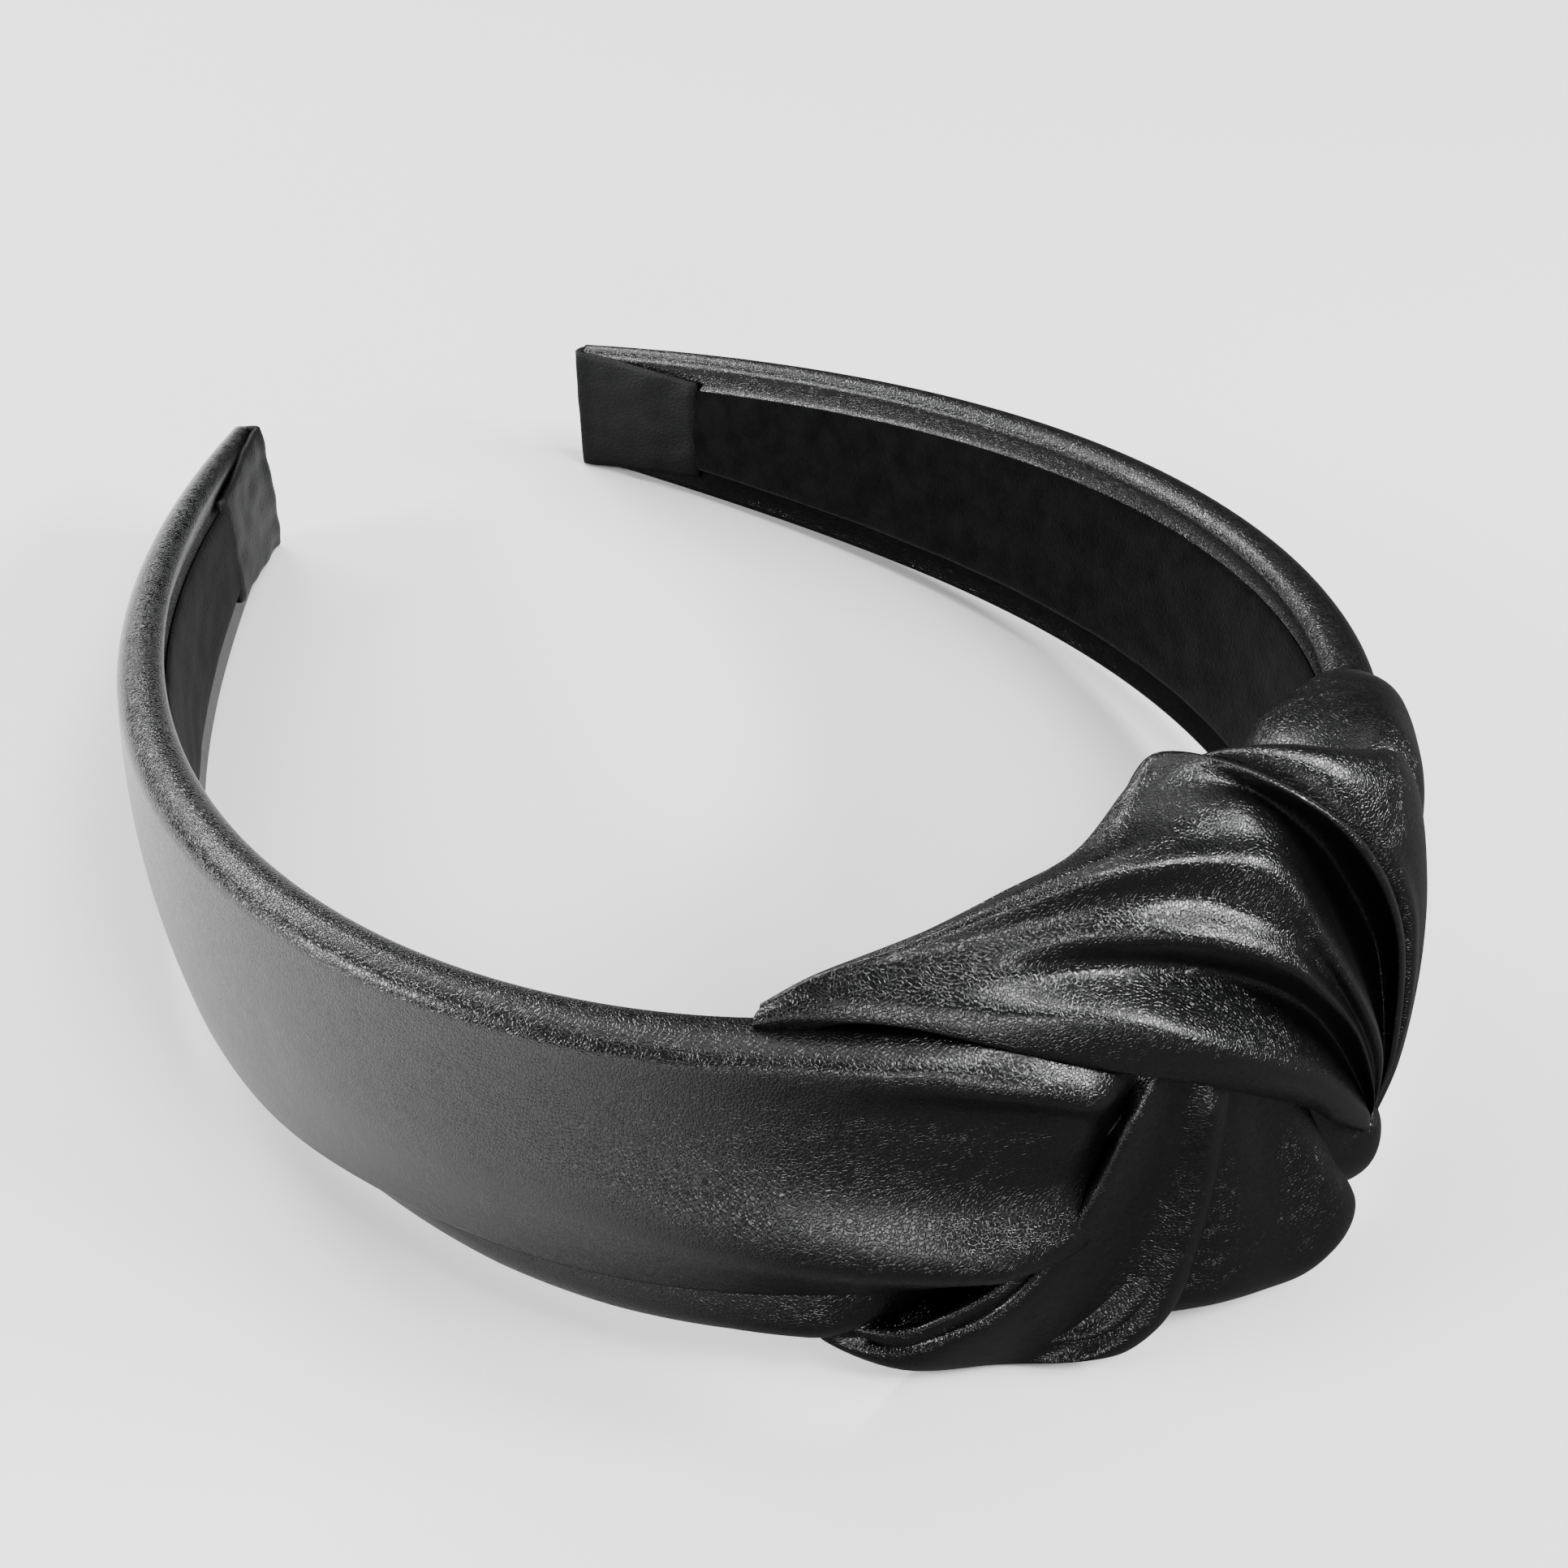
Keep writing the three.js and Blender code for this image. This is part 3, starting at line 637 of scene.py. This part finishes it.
def pleat_rings():
    """Rings of the pleat. Near the knot its outer face falls back and leaves a deep pocket."""
    rings = []
    for arc in np.linspace(PLEAT_FROM, PLEAT_TO, 170):
        drop = [13.6, 15.2, 16.6, 17.6, 18.3, 19.2, 19.6]
        low = -np.interp(arc, [-74, -63, -54, -44, -34, -24, -12], drop)
        deep = np.interp(arc, [-74, -60, -44, -30, -12], [0.4, 1.2, 1.9, 2.4, 2.6])
        middle = np.interp(arc, [-74, -54, -34, -26], [3.0, 3.4, 3.9, 4.4])
        back = 3.4 * smooth_step(arc, -28, -17)
        corner = [
            (-10.2, 4.4 - 0.3 * back), (-11.6, 4.9 + 0.1 * deep - 0.6 * back),
            (low + 3.2, middle + 1.9 - back), (low + 1.1, middle + 1.3 - back), (low, middle - back),
            (low + 0.5, middle - 1.8 - 0.6 * back), (low + 2.0, 0.8 - 0.3 * back), (-11.5, 0.2),
            (-10.0, 0.9), (-12.0, 1.1), (-13.4, 1.5), (-13.4, 2.4), (-12.0, 3.0),
        ]
        rings.append([(arc, across, out) for across, out in corner])
    return spline(np.array(rings).transpose(1, 0, 2), 60, True).transpose(1, 0, 2)


left_pleat = shell_piece("left_pleat", pleat_rings(), cover_finish)
blend_arm(left_pleat)
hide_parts("left_arm_pleat", "left_crown_pleat")


# ----------------------------------------------------------------------------------------------------
# Tip tabs: a small piece of thinner, duller leather folded over each tip, glued on the inner face over
# the ribbon's end, and slightly puckered where it turns round the end.

tab_finish = leather_finish(
    "tab_leather", (0.0020, 0.0021, 0.0024), (0.0040, 0.0041, 0.0046), 1500.0, 0.000030, 0.50, 0.62,
    ior=1.27,
)
TAB_THICKNESS = 0.6
TAB_MARGIN = 0.2
TAB_TAPER = 3.2
TAB_COLUMNS = 25
PUCKER_DEPTH = 0.30
EDGE_RISE = 0.35
TURN_PRESS = 0.25
FREE_EDGE_RISE = 0.45


def tab_rings(sign):
    """Rings of the tab across its width, from its free edge along the inner face and round the tip."""
    rings = []
    across = np.linspace(-1, 1, TAB_COLUMNS)
    for arc in np.linspace(HALF_LENGTH - TAB_LENGTH, HALF_LENGTH + 0.3, 46):
        gone = (HALF_LENGTH - arc) / TAB_LENGTH
        half = half_width(arc) - TAB_MARGIN - TAB_TAPER * np.clip(gone, 0, 1)
        pucker = np.array([noise.noise((arc * 0.22, value * half * 0.35, 11.0 * sign)) for value in across])
        face = -0.15 + PUCKER_DEPTH * pucker + EDGE_RISE * np.abs(across) ** 6
        face = face - TURN_PRESS * np.exp(-(gone * TAB_LENGTH / 1.2) ** 2)
        face = face + FREE_EDGE_RISE * np.exp(-((1 - gone) * TAB_LENGTH / 0.5) ** 2)
        inner = np.stack([np.full_like(across, arc), across * half, face], -1)
        outer = inner + [0, 0, TAB_THICKNESS]
        rings.append(np.concatenate([inner, outer[::-1]]))
    end_out = tapered(TIP_THICKNESS, CROWN_THICKNESS, HALF_LENGTH)
    for share in np.linspace(0.15, 1, 10):
        half = half_width(HALF_LENGTH) - TAB_MARGIN - 0.8 * share ** 3
        out = np.full_like(across, -0.2 + share * (end_out - 0.2))
        round_corner = 0.5 * (1 - np.exp(-share * 6))
        end = np.full_like(across, HALF_LENGTH + 0.4 + round_corner)
        inner = np.stack([end, across * half, out], -1)
        outer = inner - [0.45 + round_corner * 0.6, 0, 0]
        outer[:, 2] += 0.25 * (1 - share)
        rings.append(np.concatenate([inner, outer[::-1]]))
    rings = np.array(rings)
    rings[..., 0] *= sign
    return rings


for side, sign in (("left", -1), ("right", 1)):
    tab = shell_piece(side + "_tab", tab_rings(sign), tab_finish, side + "_arm")
    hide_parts(side + "_tip_tab")


# ----------------------------------------------------------------------------------------------------
# Knot wadding: a thin wad of the same foam laid over the cover under the knot, which fills the strips
# out. The strips hide it.

WADDING_LENGTH = 15
WADDING_BED = 5.9
WADDING_PROFILE = [(-12, 6.6), (-8, 7.1), (-3, 7.4), (1, 7.3), (4, 7.0), (6, 6.6)]


def wadding_rings():
    """Rings of the wad, thinned out at both ends."""
    rings = []
    for arc in np.linspace(0, WADDING_LENGTH, 5):
        fall = 0.25 if arc in (0, WADDING_LENGTH) else 1.0
        outer = [(arc, across, 6.2 + (out - 6.2) * fall) for across, out in WADDING_PROFILE]
        inner = [(arc, across, WADDING_BED) for across, _ in WADDING_PROFILE]
        rings.append(outer + inner[::-1])
    fine = spline(spline(np.array(rings, float), 30, False).transpose(1, 0, 2), 60, True)
    return fine.transpose(1, 0, 2)


wadding = shell_piece("knot_wadding", wadding_rings(), foam_finish, "crown")
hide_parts("knot_pad")


# ----------------------------------------------------------------------------------------------------
# Knot, upper flap: the left cover's leather drawn up over the band's top edge and across to the right,
# where four folds of it run down together into the pinch. It is padded by its own bunched thickness.

knot_finish = leather_finish(
    "knot_leather", (0.0012, 0.0012, 0.0013), (0.0024, 0.0023, 0.0023), 3100.0, 0.000020, 0.23, 0.27
)

# Each line runs from the flap's left point to the pinch. In order they are: under the lower edge, the
# lower edge, the lower roll, a hollow, the third fold, a valley, the second fold and its far side, a
# hollow, the first fold's near side, crest and far side, the rim, and three back along the band.
FLAP_LINES = [
    [(-28, 14.6, 2.2), (-21, 17, 2.6), (-14, 15.4, 4.2), (-6, 12.2, 6.2), (1, 8.4, 7.2),
     (7, 3.8, 8), (12, -0.8, 8.8), (15.6, -5.3, 9.5), (18.5, -8.4, 10.2), (20.5, -11.2, 11.3)],
    [(-28, 16.8, 3.4), (-21, 16.6, 4.6), (-14, 14.6, 6.7), (-6, 10.7, 8.5), (1, 6.3, 9.5),
     (7, 1.5, 10.4), (12, -3, 11.1), (15.2, -6.9, 12), (17.6, -9.4, 12.8), (19.6, -11.6, 13.3)],
    [(-28, 18.2, 3), (-21, 18.1, 4.2), (-13.9, 17.4, 5.9), (-6.2, 15.7, 8), (0.3, 11.8, 10.4),
     (6.1, 6.9, 11.7), (11.1, 1.9, 12.6), (14.3, -2, 13.1), (17.2, -6.1, 13.5), (19.4, -9.5, 13.7)],
    [(-27.5, 19, 2.4), (-20.5, 19.5, 3.3), (-13.4, 19.4, 3.9), (-5.3, 17.9, 4.3), (1.7, 15, 4.8),
     (8.2, 11, 6.8), (12.3, 7.1, 8.5), (15.6, 2.3, 9.9), (18.5, -3.9, 11.5), (20.4, -9.2, 12.6)],
    [(-27, 19.5, 2.1), (-20, 20.5, 2.4), (-12.6, 21.2, 3), (-5.1, 20.9, 4.5), (1.6, 19.2, 7),
     (7.2, 15.5, 9.9), (11, 10.6, 11.8), (14.2, 5.1, 13.1), (17.4, -2.1, 13.6), (19.9, -8.5, 13.6)],
    [(-27, 19.8, 1.9), (-20, 21.2, 1.9), (-12.4, 22.7, 2.2), (-4.5, 23.4, 3.2), (3, 21.5, 4.7),
     (8.4, 17.8, 8.1), (11.9, 12.4, 10.4), (14.9, 6, 12.4), (17.7, -0.8, 13.3), (20.1, -7.7, 13.3)],
    [(-27, 19.9, 1.6), (-20.1, 22, 1.5), (-12.4, 24.3, 1.7), (-4.3, 25.7, 3), (3.8, 24.5, 4.2),
     (9, 21.9, 6.9), (12, 15.5, 10.1), (15, 8, 12.9), (17.9, 0.5, 14), (20.1, -7, 13.7)],
    [(-27, 19.7, 1.2), (-20.1, 22, 1), (-11.9, 24.7, 1), (-4.3, 26.4, 2.2), (4.2, 25.4, 2.3),
     (11, 23.2, 4.7), (15.6, 16.8, 6.5), (19.5, 8.2, 8.8), (21.3, 1, 11.1), (21.4, -7, 12.9)],
    [(-27, 19.4, 0.8), (-20, 21.7, 0.2), (-11.2, 24.5, 0.2), (-4.2, 26.5, 1), (3.5, 26.4, 0.4),
     (10.8, 25.4, 2), (17, 19.5, 3.9), (22.2, 11.1, 6.7), (24.3, 3.4, 9.9), (22.6, -6.4, 12.7)],
    [(-27, 19, 0.4), (-20, 20.9, -0.6), (-11.2, 23.2, -1.5), (-4, 25.2, -1.4), (3, 27.1, -2.1),
     (9.8, 26.7, -0.7), (15.3, 23.1, 2.5), (20.5, 16.4, 6.1), (23.3, 7.2, 10.4), (22.7, -5.4, 12.8)],
    [(-27, 18.8, 0.2), (-20, 20.5, -0.9), (-11.5, 22.6, -2), (-4.2, 24.4, -2.3), (2.7, 27, -3.7),
     (8.6, 28.3, -2.8), (12.8, 26.6, 2.2), (17.2, 20.9, 7.8), (21, 10.2, 11.8), (22.3, -4.3, 13.3)],
    [(-27, 18.4, 0.1), (-20, 20, -1.2), (-11.5, 21.8, -2.6), (-4, 23.4, -3.2), (3, 26, -5.2),
     (8, 28, -5.6), (13.3, 26.9, 0.7), (18.8, 20.4, 7.9), (22.2, 9.4, 12.1), (23, -4.7, 13.5)],
    [(-27, 17, -0.4), (-20, 16.5, -1.6), (-12, 16.5, -2.9), (-4, 17.5, -4.2), (3, 20.5, -5.8),
     (8.5, 23, -6.4), (18.3, 21.7, -3.5), (23.2, 15.4, 4.4), (25.7, 5.2, 9.6), (24.1, -6.4, 11.8)],
    [(-27, 15.8, -0.2), (-20, 13.5, -0.7), (-12, 12.5, -0.9), (-4, 12.5, -1), (4, 12.5, -1.2),
     (10, 13.5, -1.2), (16, 15, 0), (19.5, 12.5, 4.5), (21.8, 5.5, 8.4), (22.3, -6, 10.8)],
    [(-27, 16.4, 0.2), (-20, 16.2, 0.2), (-12, 16.3, 0.4), (-4, 16.3, 0.6), (4, 16.3, 1),
     (10, 16.3, 2), (14.5, 14, 3.6), (17.8, 9.5, 5.6), (20.2, 2, 8), (21.6, -7, 10.4)],
    [(-27, 16.9, 0.9), (-20, 16.6, 1.4), (-13, 15.8, 3), (-5, 14.6, 4), (2, 11.5, 4.8),
     (8, 8, 6), (12.8, 3.5, 7.2), (16.4, -1, 8.4), (19, -5.4, 9.6), (20.8, -9.4, 10.8)],
]
FLAP_POINT = (-31.4, 16.4, 1.8)
PINCH = (21.5, -12.5, 12.6)
START_SHARE = 0.5
END_SHARE = 0.25


def pointed(rings, start=None, end=None):
    """Adds a small ring at a piece's start or end, shaped like its neighbour, so that it runs to a tip."""
    rings = list(rings)
    if start is not None:
        rings.insert(0, np.array(start) + (rings[0] - rings[0].mean(axis=0)) * START_SHARE)
    if end is not None:
        rings.append(np.array(end) + (rings[-1] - rings[-1].mean(axis=0)) * END_SHARE)
    return np.array(rings)


def fold_piece(name, rings, along, across):
    """A soft closed piece of the knot through design rings of band points, smoothed both ways."""
    fine = spline(spline(np.array(rings, float), along, False).transpose(1, 0, 2), across, True)
    piece = shell_piece(name, fine.transpose(1, 0, 2), knot_finish, "crown")
    return piece


flap_rings = pointed(np.array(FLAP_LINES, float).transpose(1, 0, 2), FLAP_POINT, PINCH)
flap = fold_piece("knot_flap", flap_rings, 220, 220)
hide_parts("knot_upper_flap")


# ----------------------------------------------------------------------------------------------------
# Knot, rear folds: the right cover's leather comes over the top edge behind the flap and runs down into
# the same pinch, with a full lobe of it bulging over the top edge where it leaves the knot.

BAND_HEART = 3.0


def strip_rings(stations, thickness):
    """Rings of a folded strip from the five points across its face at each station."""
    rings = []
    for front in np.array(stations, float):
        inward = np.array([0.0, 0.0, BAND_HEART]) - front
        inward[:, 0] = 0
        inward /= np.linalg.norm(inward, axis=1, keepdims=True)
        back = front + inward * thickness * np.array([0.8, 1.0, 1.0, 1.0, 0.8])[:, None]
        tuck = (front[-1] - front[0]) * 0.06
        back[0] += tuck
        back[-1] -= tuck
        rings.append(np.concatenate([front, back[::-1]]))
    return np.array(rings)


REAR_STATIONS = [
    [(9, 14, -3.5), (15, 13.5, -3.6), (21, 13, -3.5), (26, 12.5, -3), (30, 12, -2)],
    [(12, 20.7, -6), (16.9, 20.6, -6), (21, 20, -5), (27, 18, -3), (33, 15, 0)],
    [(11.3, 25.3, -5.3), (15.2, 26.2, -3.7), (21, 25, -0.8), (27, 22.3, 2.8), (32.4, 19.4, 6)],
    [(16.4, 20.3, -3.6), (18.9, 22.5, 0.5), (22.9, 22.6, 4.1), (29.5, 19.6, 7.4), (33.4, 17, 8)],
    [(21.1, 13.1, 0.8), (22.4, 17.3, 6.4), (25.7, 16.8, 8.7), (30, 14.6, 10), (33, 13, 9.6)],
    [(24.5, 5.3, 4.8), (24.5, 10, 10.7), (26.8, 9.7, 11.5), (29.8, 8.6, 11.7), (31.4, 8, 10.9)],
    [(25.2, -1.1, 7.4), (24.8, 3.7, 12.3), (26.8, 3.5, 12.8), (28.6, 3.1, 12.7), (29.8, 3, 11.9)],
    [(25.2, -6.5, 8.8), (24.5, -2.6, 13), (25.9, -2.7, 13.4), (27.2, -2.6, 13.2), (28, -2.5, 12.4)],
    [(23, -8.2, 12.2), (23.6, -8.1, 13.1), (24.6, -8.4, 13.5), (25.6, -8.5, 13.3), (26.4, -8.5, 12.6)],
]
rear_fold = fold_piece(
    "knot_rear_fold", pointed(strip_rings(REAR_STATIONS, 3.0), end=(23.0, -12.6, 12.6)), 160, 90
)

LOBE_STATIONS = [
    [(44.5, 9, -0.8), (46.5, 13.5, -1.0), (49, 16.2, 1.0), (50, 15, 5), (50.5, 11, 6.2)],
    [(43.4, 8.5, -4.4), (45, 14.5, -4.2), (48, 17.3, -0.2), (48.8, 16.2, 5), (49, 11.5, 7.2)],
    [(42, 8, -6.2), (43, 14.8, -6.0), (45.4, 18.4, 1.0), (45.4, 17, 6.2), (45, 11.5, 8.2)],
    [(39, 8, -6.8), (40, 15.5, -6.6), (41, 19.2, 2.4), (40.5, 16.5, 7.6), (40, 11, 8.8)],
    [(34, 9, -6.2), (35, 16, -6), (36, 19.4, 3.4), (35.5, 15.5, 8.8), (35, 9, 9.8)],
    [(29, 10, -4), (29.5, 15, -4), (30, 18.5, 3), (30.5, 13, 9.0), (31, 6.5, 10.2)],
]
fold_piece("knot_rear_lobe", strip_rings(LOBE_STATIONS, 2.5), 110, 90)
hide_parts("knot_rear_strip")


# ----------------------------------------------------------------------------------------------------
# Knot, lower strips: two strips of the same leather come down from under the flap, wrap the band's lower
# edge and turn in on the inner face; a small lobe of the rear fold shows between them and the pinch.

LOWER_STATIONS = [
    [(-3.5, 9, 6.6), (-1, 9, 7.6), (1, 8.5, 8), (3.5, 8, 8), (6, 7.5, 7.6)],
    [(-4, 3.4, 6.6), (-4.3, 4.8, 9), (0.4, 1.7, 8.2), (2.3, 2.3, 9.9), (4.4, 1, 9.4)],
    [(-5.8, -4.6, 5.6), (-6.2, -2.4, 8.7), (-0.3, -5.6, 8), (2.4, -4.9, 10.2), (4.2, -6, 9.6)],
    [(-8.6, -11.1, 5), (-8.6, -8.8, 8.1), (-2.2, -12.6, 7.8), (1.4, -11.7, 10.4), (3.3, -12.5, 9.9)],
    [(-13.2, -16.8, 4.6), (-12.3, -14.7, 7.9), (-4.7, -18.8, 7.6), (-0.2, -17.3, 10.4), (1.9, -18, 10.3)],
    [(-19.9, -20.2, 4.2), (-17.1, -19, 7), (-8.3, -23.2, 6.8), (-2.8, -21.7, 10.1), (-0.4, -22.2, 10.2)],
    [(-26.4, -19.8, 4.2), (-20.1, -23.1, 5.7), (-12.3, -25.5, 5.3), (-6.2, -24.6, 8.5), (-3.4, -24.8, 8.9)],
    [(-25.5, -20.8, 2.6), (-20, -24.3, 2.8), (-13, -25.2, 2.8), (-7, -25.3, 4.6), (-4.5, -24.8, 5)],
    [(-20, -18, -0.4), (-15, -20.5, -1.2), (-10, -22, -1.8), (-5.5, -22.6, -1.6), (-2.5, -22, -1)],
    [(-10, -12, -1.4), (-7, -12.5, -2.2), (-3.5, -13, -2.6), (0, -13, -2.6), (3, -13, -2.2)],
]
lower_strip = fold_piece("knot_lower_strip_leather", strip_rings(LOWER_STATIONS, 2.4), 160, 80)
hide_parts("knot_lower_strip")

SECOND_STATIONS = [
    [(3, 5, 7.6), (5, 4, 8.2), (8, 2.5, 8.6), (11, 0, 9), (13.5, -2, 9.2)],
    [(3.5, -3, 8.2), (6, -3.5, 9.4), (9.3, -4.9, 9.6), (12.3, -5.7, 10.5), (14.8, -7.2, 10.6)],
    [(3, -10, 8.4), (6, -10.4, 10.6), (10.3, -11.4, 11.4), (13.5, -11.3, 12.9), (16.2, -12.3, 12.6)],
    [(2, -16, 8.6), (6, -16.6, 11.4), (10.5, -16.9, 13), (14.7, -16.8, 15.1), (17.2, -17.3, 14.9)],
    [(1, -21, 8.6), (4.8, -21.6, 11), (9.8, -22.2, 12.9), (13.6, -21.1, 14.9), (16, -21.3, 14.6)],
    [(1, -24, 7.2), (4.5, -25, 8.2), (8.8, -25.7, 9.6), (11.8, -24.6, 12.1), (13.8, -24.3, 12.2)],
    [(1, -24.3, 4), (4, -25.3, 4.2), (7.5, -25.5, 4.8), (10.5, -25, 6), (12.4, -24.3, 6.6)],
    [(2, -21, -0.5), (4.5, -22, -1), (7.5, -22.4, -1.2), (10.5, -21.8, -0.6), (13, -21, 0.4)],
    [(4, -12, -2), (6, -12, -2.8), (9, -12, -3.2), (12.5, -12, -2.9), (15, -12, -2.4)],
]
second_strip = fold_piece("knot_second_strip", strip_rings(SECOND_STATIONS, 2.6), 150, 80)
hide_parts("knot_lower_lobe")

SMALL_STATIONS = [
    [(15, -6, 10.0), (18, -8.4, 11.2), (20.6, -10.4, 12.2), (22.4, -11, 12.4), (23.6, -11, 11.8)],
    [(14, -9.5, 10.0), (17.6, -11.6, 12.2), (20.8, -12.8, 13.8), (22.8, -13.2, 13.6), (24, -13, 12.4)],
    [(14, -13, 10.4), (18.0, -15, 13.0), (20.8, -16.2, 14.2), (23, -15.8, 13.6), (24, -15.2, 12.4)],
    [(15, -16.5, 10.4), (18.4, -18.4, 12.0), (20.6, -19, 12.6), (22.4, -18.4, 11.8), (23.4, -18, 10.6)],
    [(15, -20, 7.5), (18, -21.4, 8.4), (20, -21.8, 8.4), (21.8, -21.2, 7.6), (23, -20.4, 6.6)],
    [(14, -20, 2.0), (16, -20.8, 1.4), (18, -20.8, 1.2), (20, -20.2, 1.4), (21.5, -19.5, 2)],
]
small_lobe = fold_piece("knot_small_fold", strip_rings(SMALL_STATIONS, 2.4), 100, 70)
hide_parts("knot_small_lobe")


# ----------------------------------------------------------------------------------------------------
# Knot, inner wrap: the strips come together on the inner face as one flat, pleated loop, glued over the
# ends of the two ribbons.

WRAP_STATIONS = [
    [(-1, 20, -2.5), (8, 21, -3.6), (18, 20, -3.0)],
    [(1, 12, -2.2), (9, 12, -3.0), (17.5, 12, -2.4)],
    [(2, 0, -1.9), (9, 0, -2.6), (16.5, 0, -1.9)],
    [(0, -12, -2.2), (8, -12, -3.0), (16, -12, -2.4)],
    [(-4, -19, -1.8), (7, -20, -2.4), (16, -19, -1.6)],
]


def wrap_rings():
    """The wrap's rings, thinner than a strip's because it is pulled flat."""
    rings = []
    for left, middle, right in np.array(WRAP_STATIONS, float):
        shares = np.linspace(0, 1, 9)[:, None]
        bow = middle - (left + right) / 2
        front = left + (right - left) * shares + bow * (1 - (2 * shares - 1) ** 2)
        front[:, 2] += 0.35 * np.cos(shares[:, 0] * 6 * math.pi)
        back = front.copy()
        back[:, 2] = -0.2
        rings.append(np.concatenate([front, back[::-1]]))
    return np.array(rings)


inner_wrap = fold_piece("knot_wrap", wrap_rings(), 110, 100)
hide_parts("knot_inner_wrap")
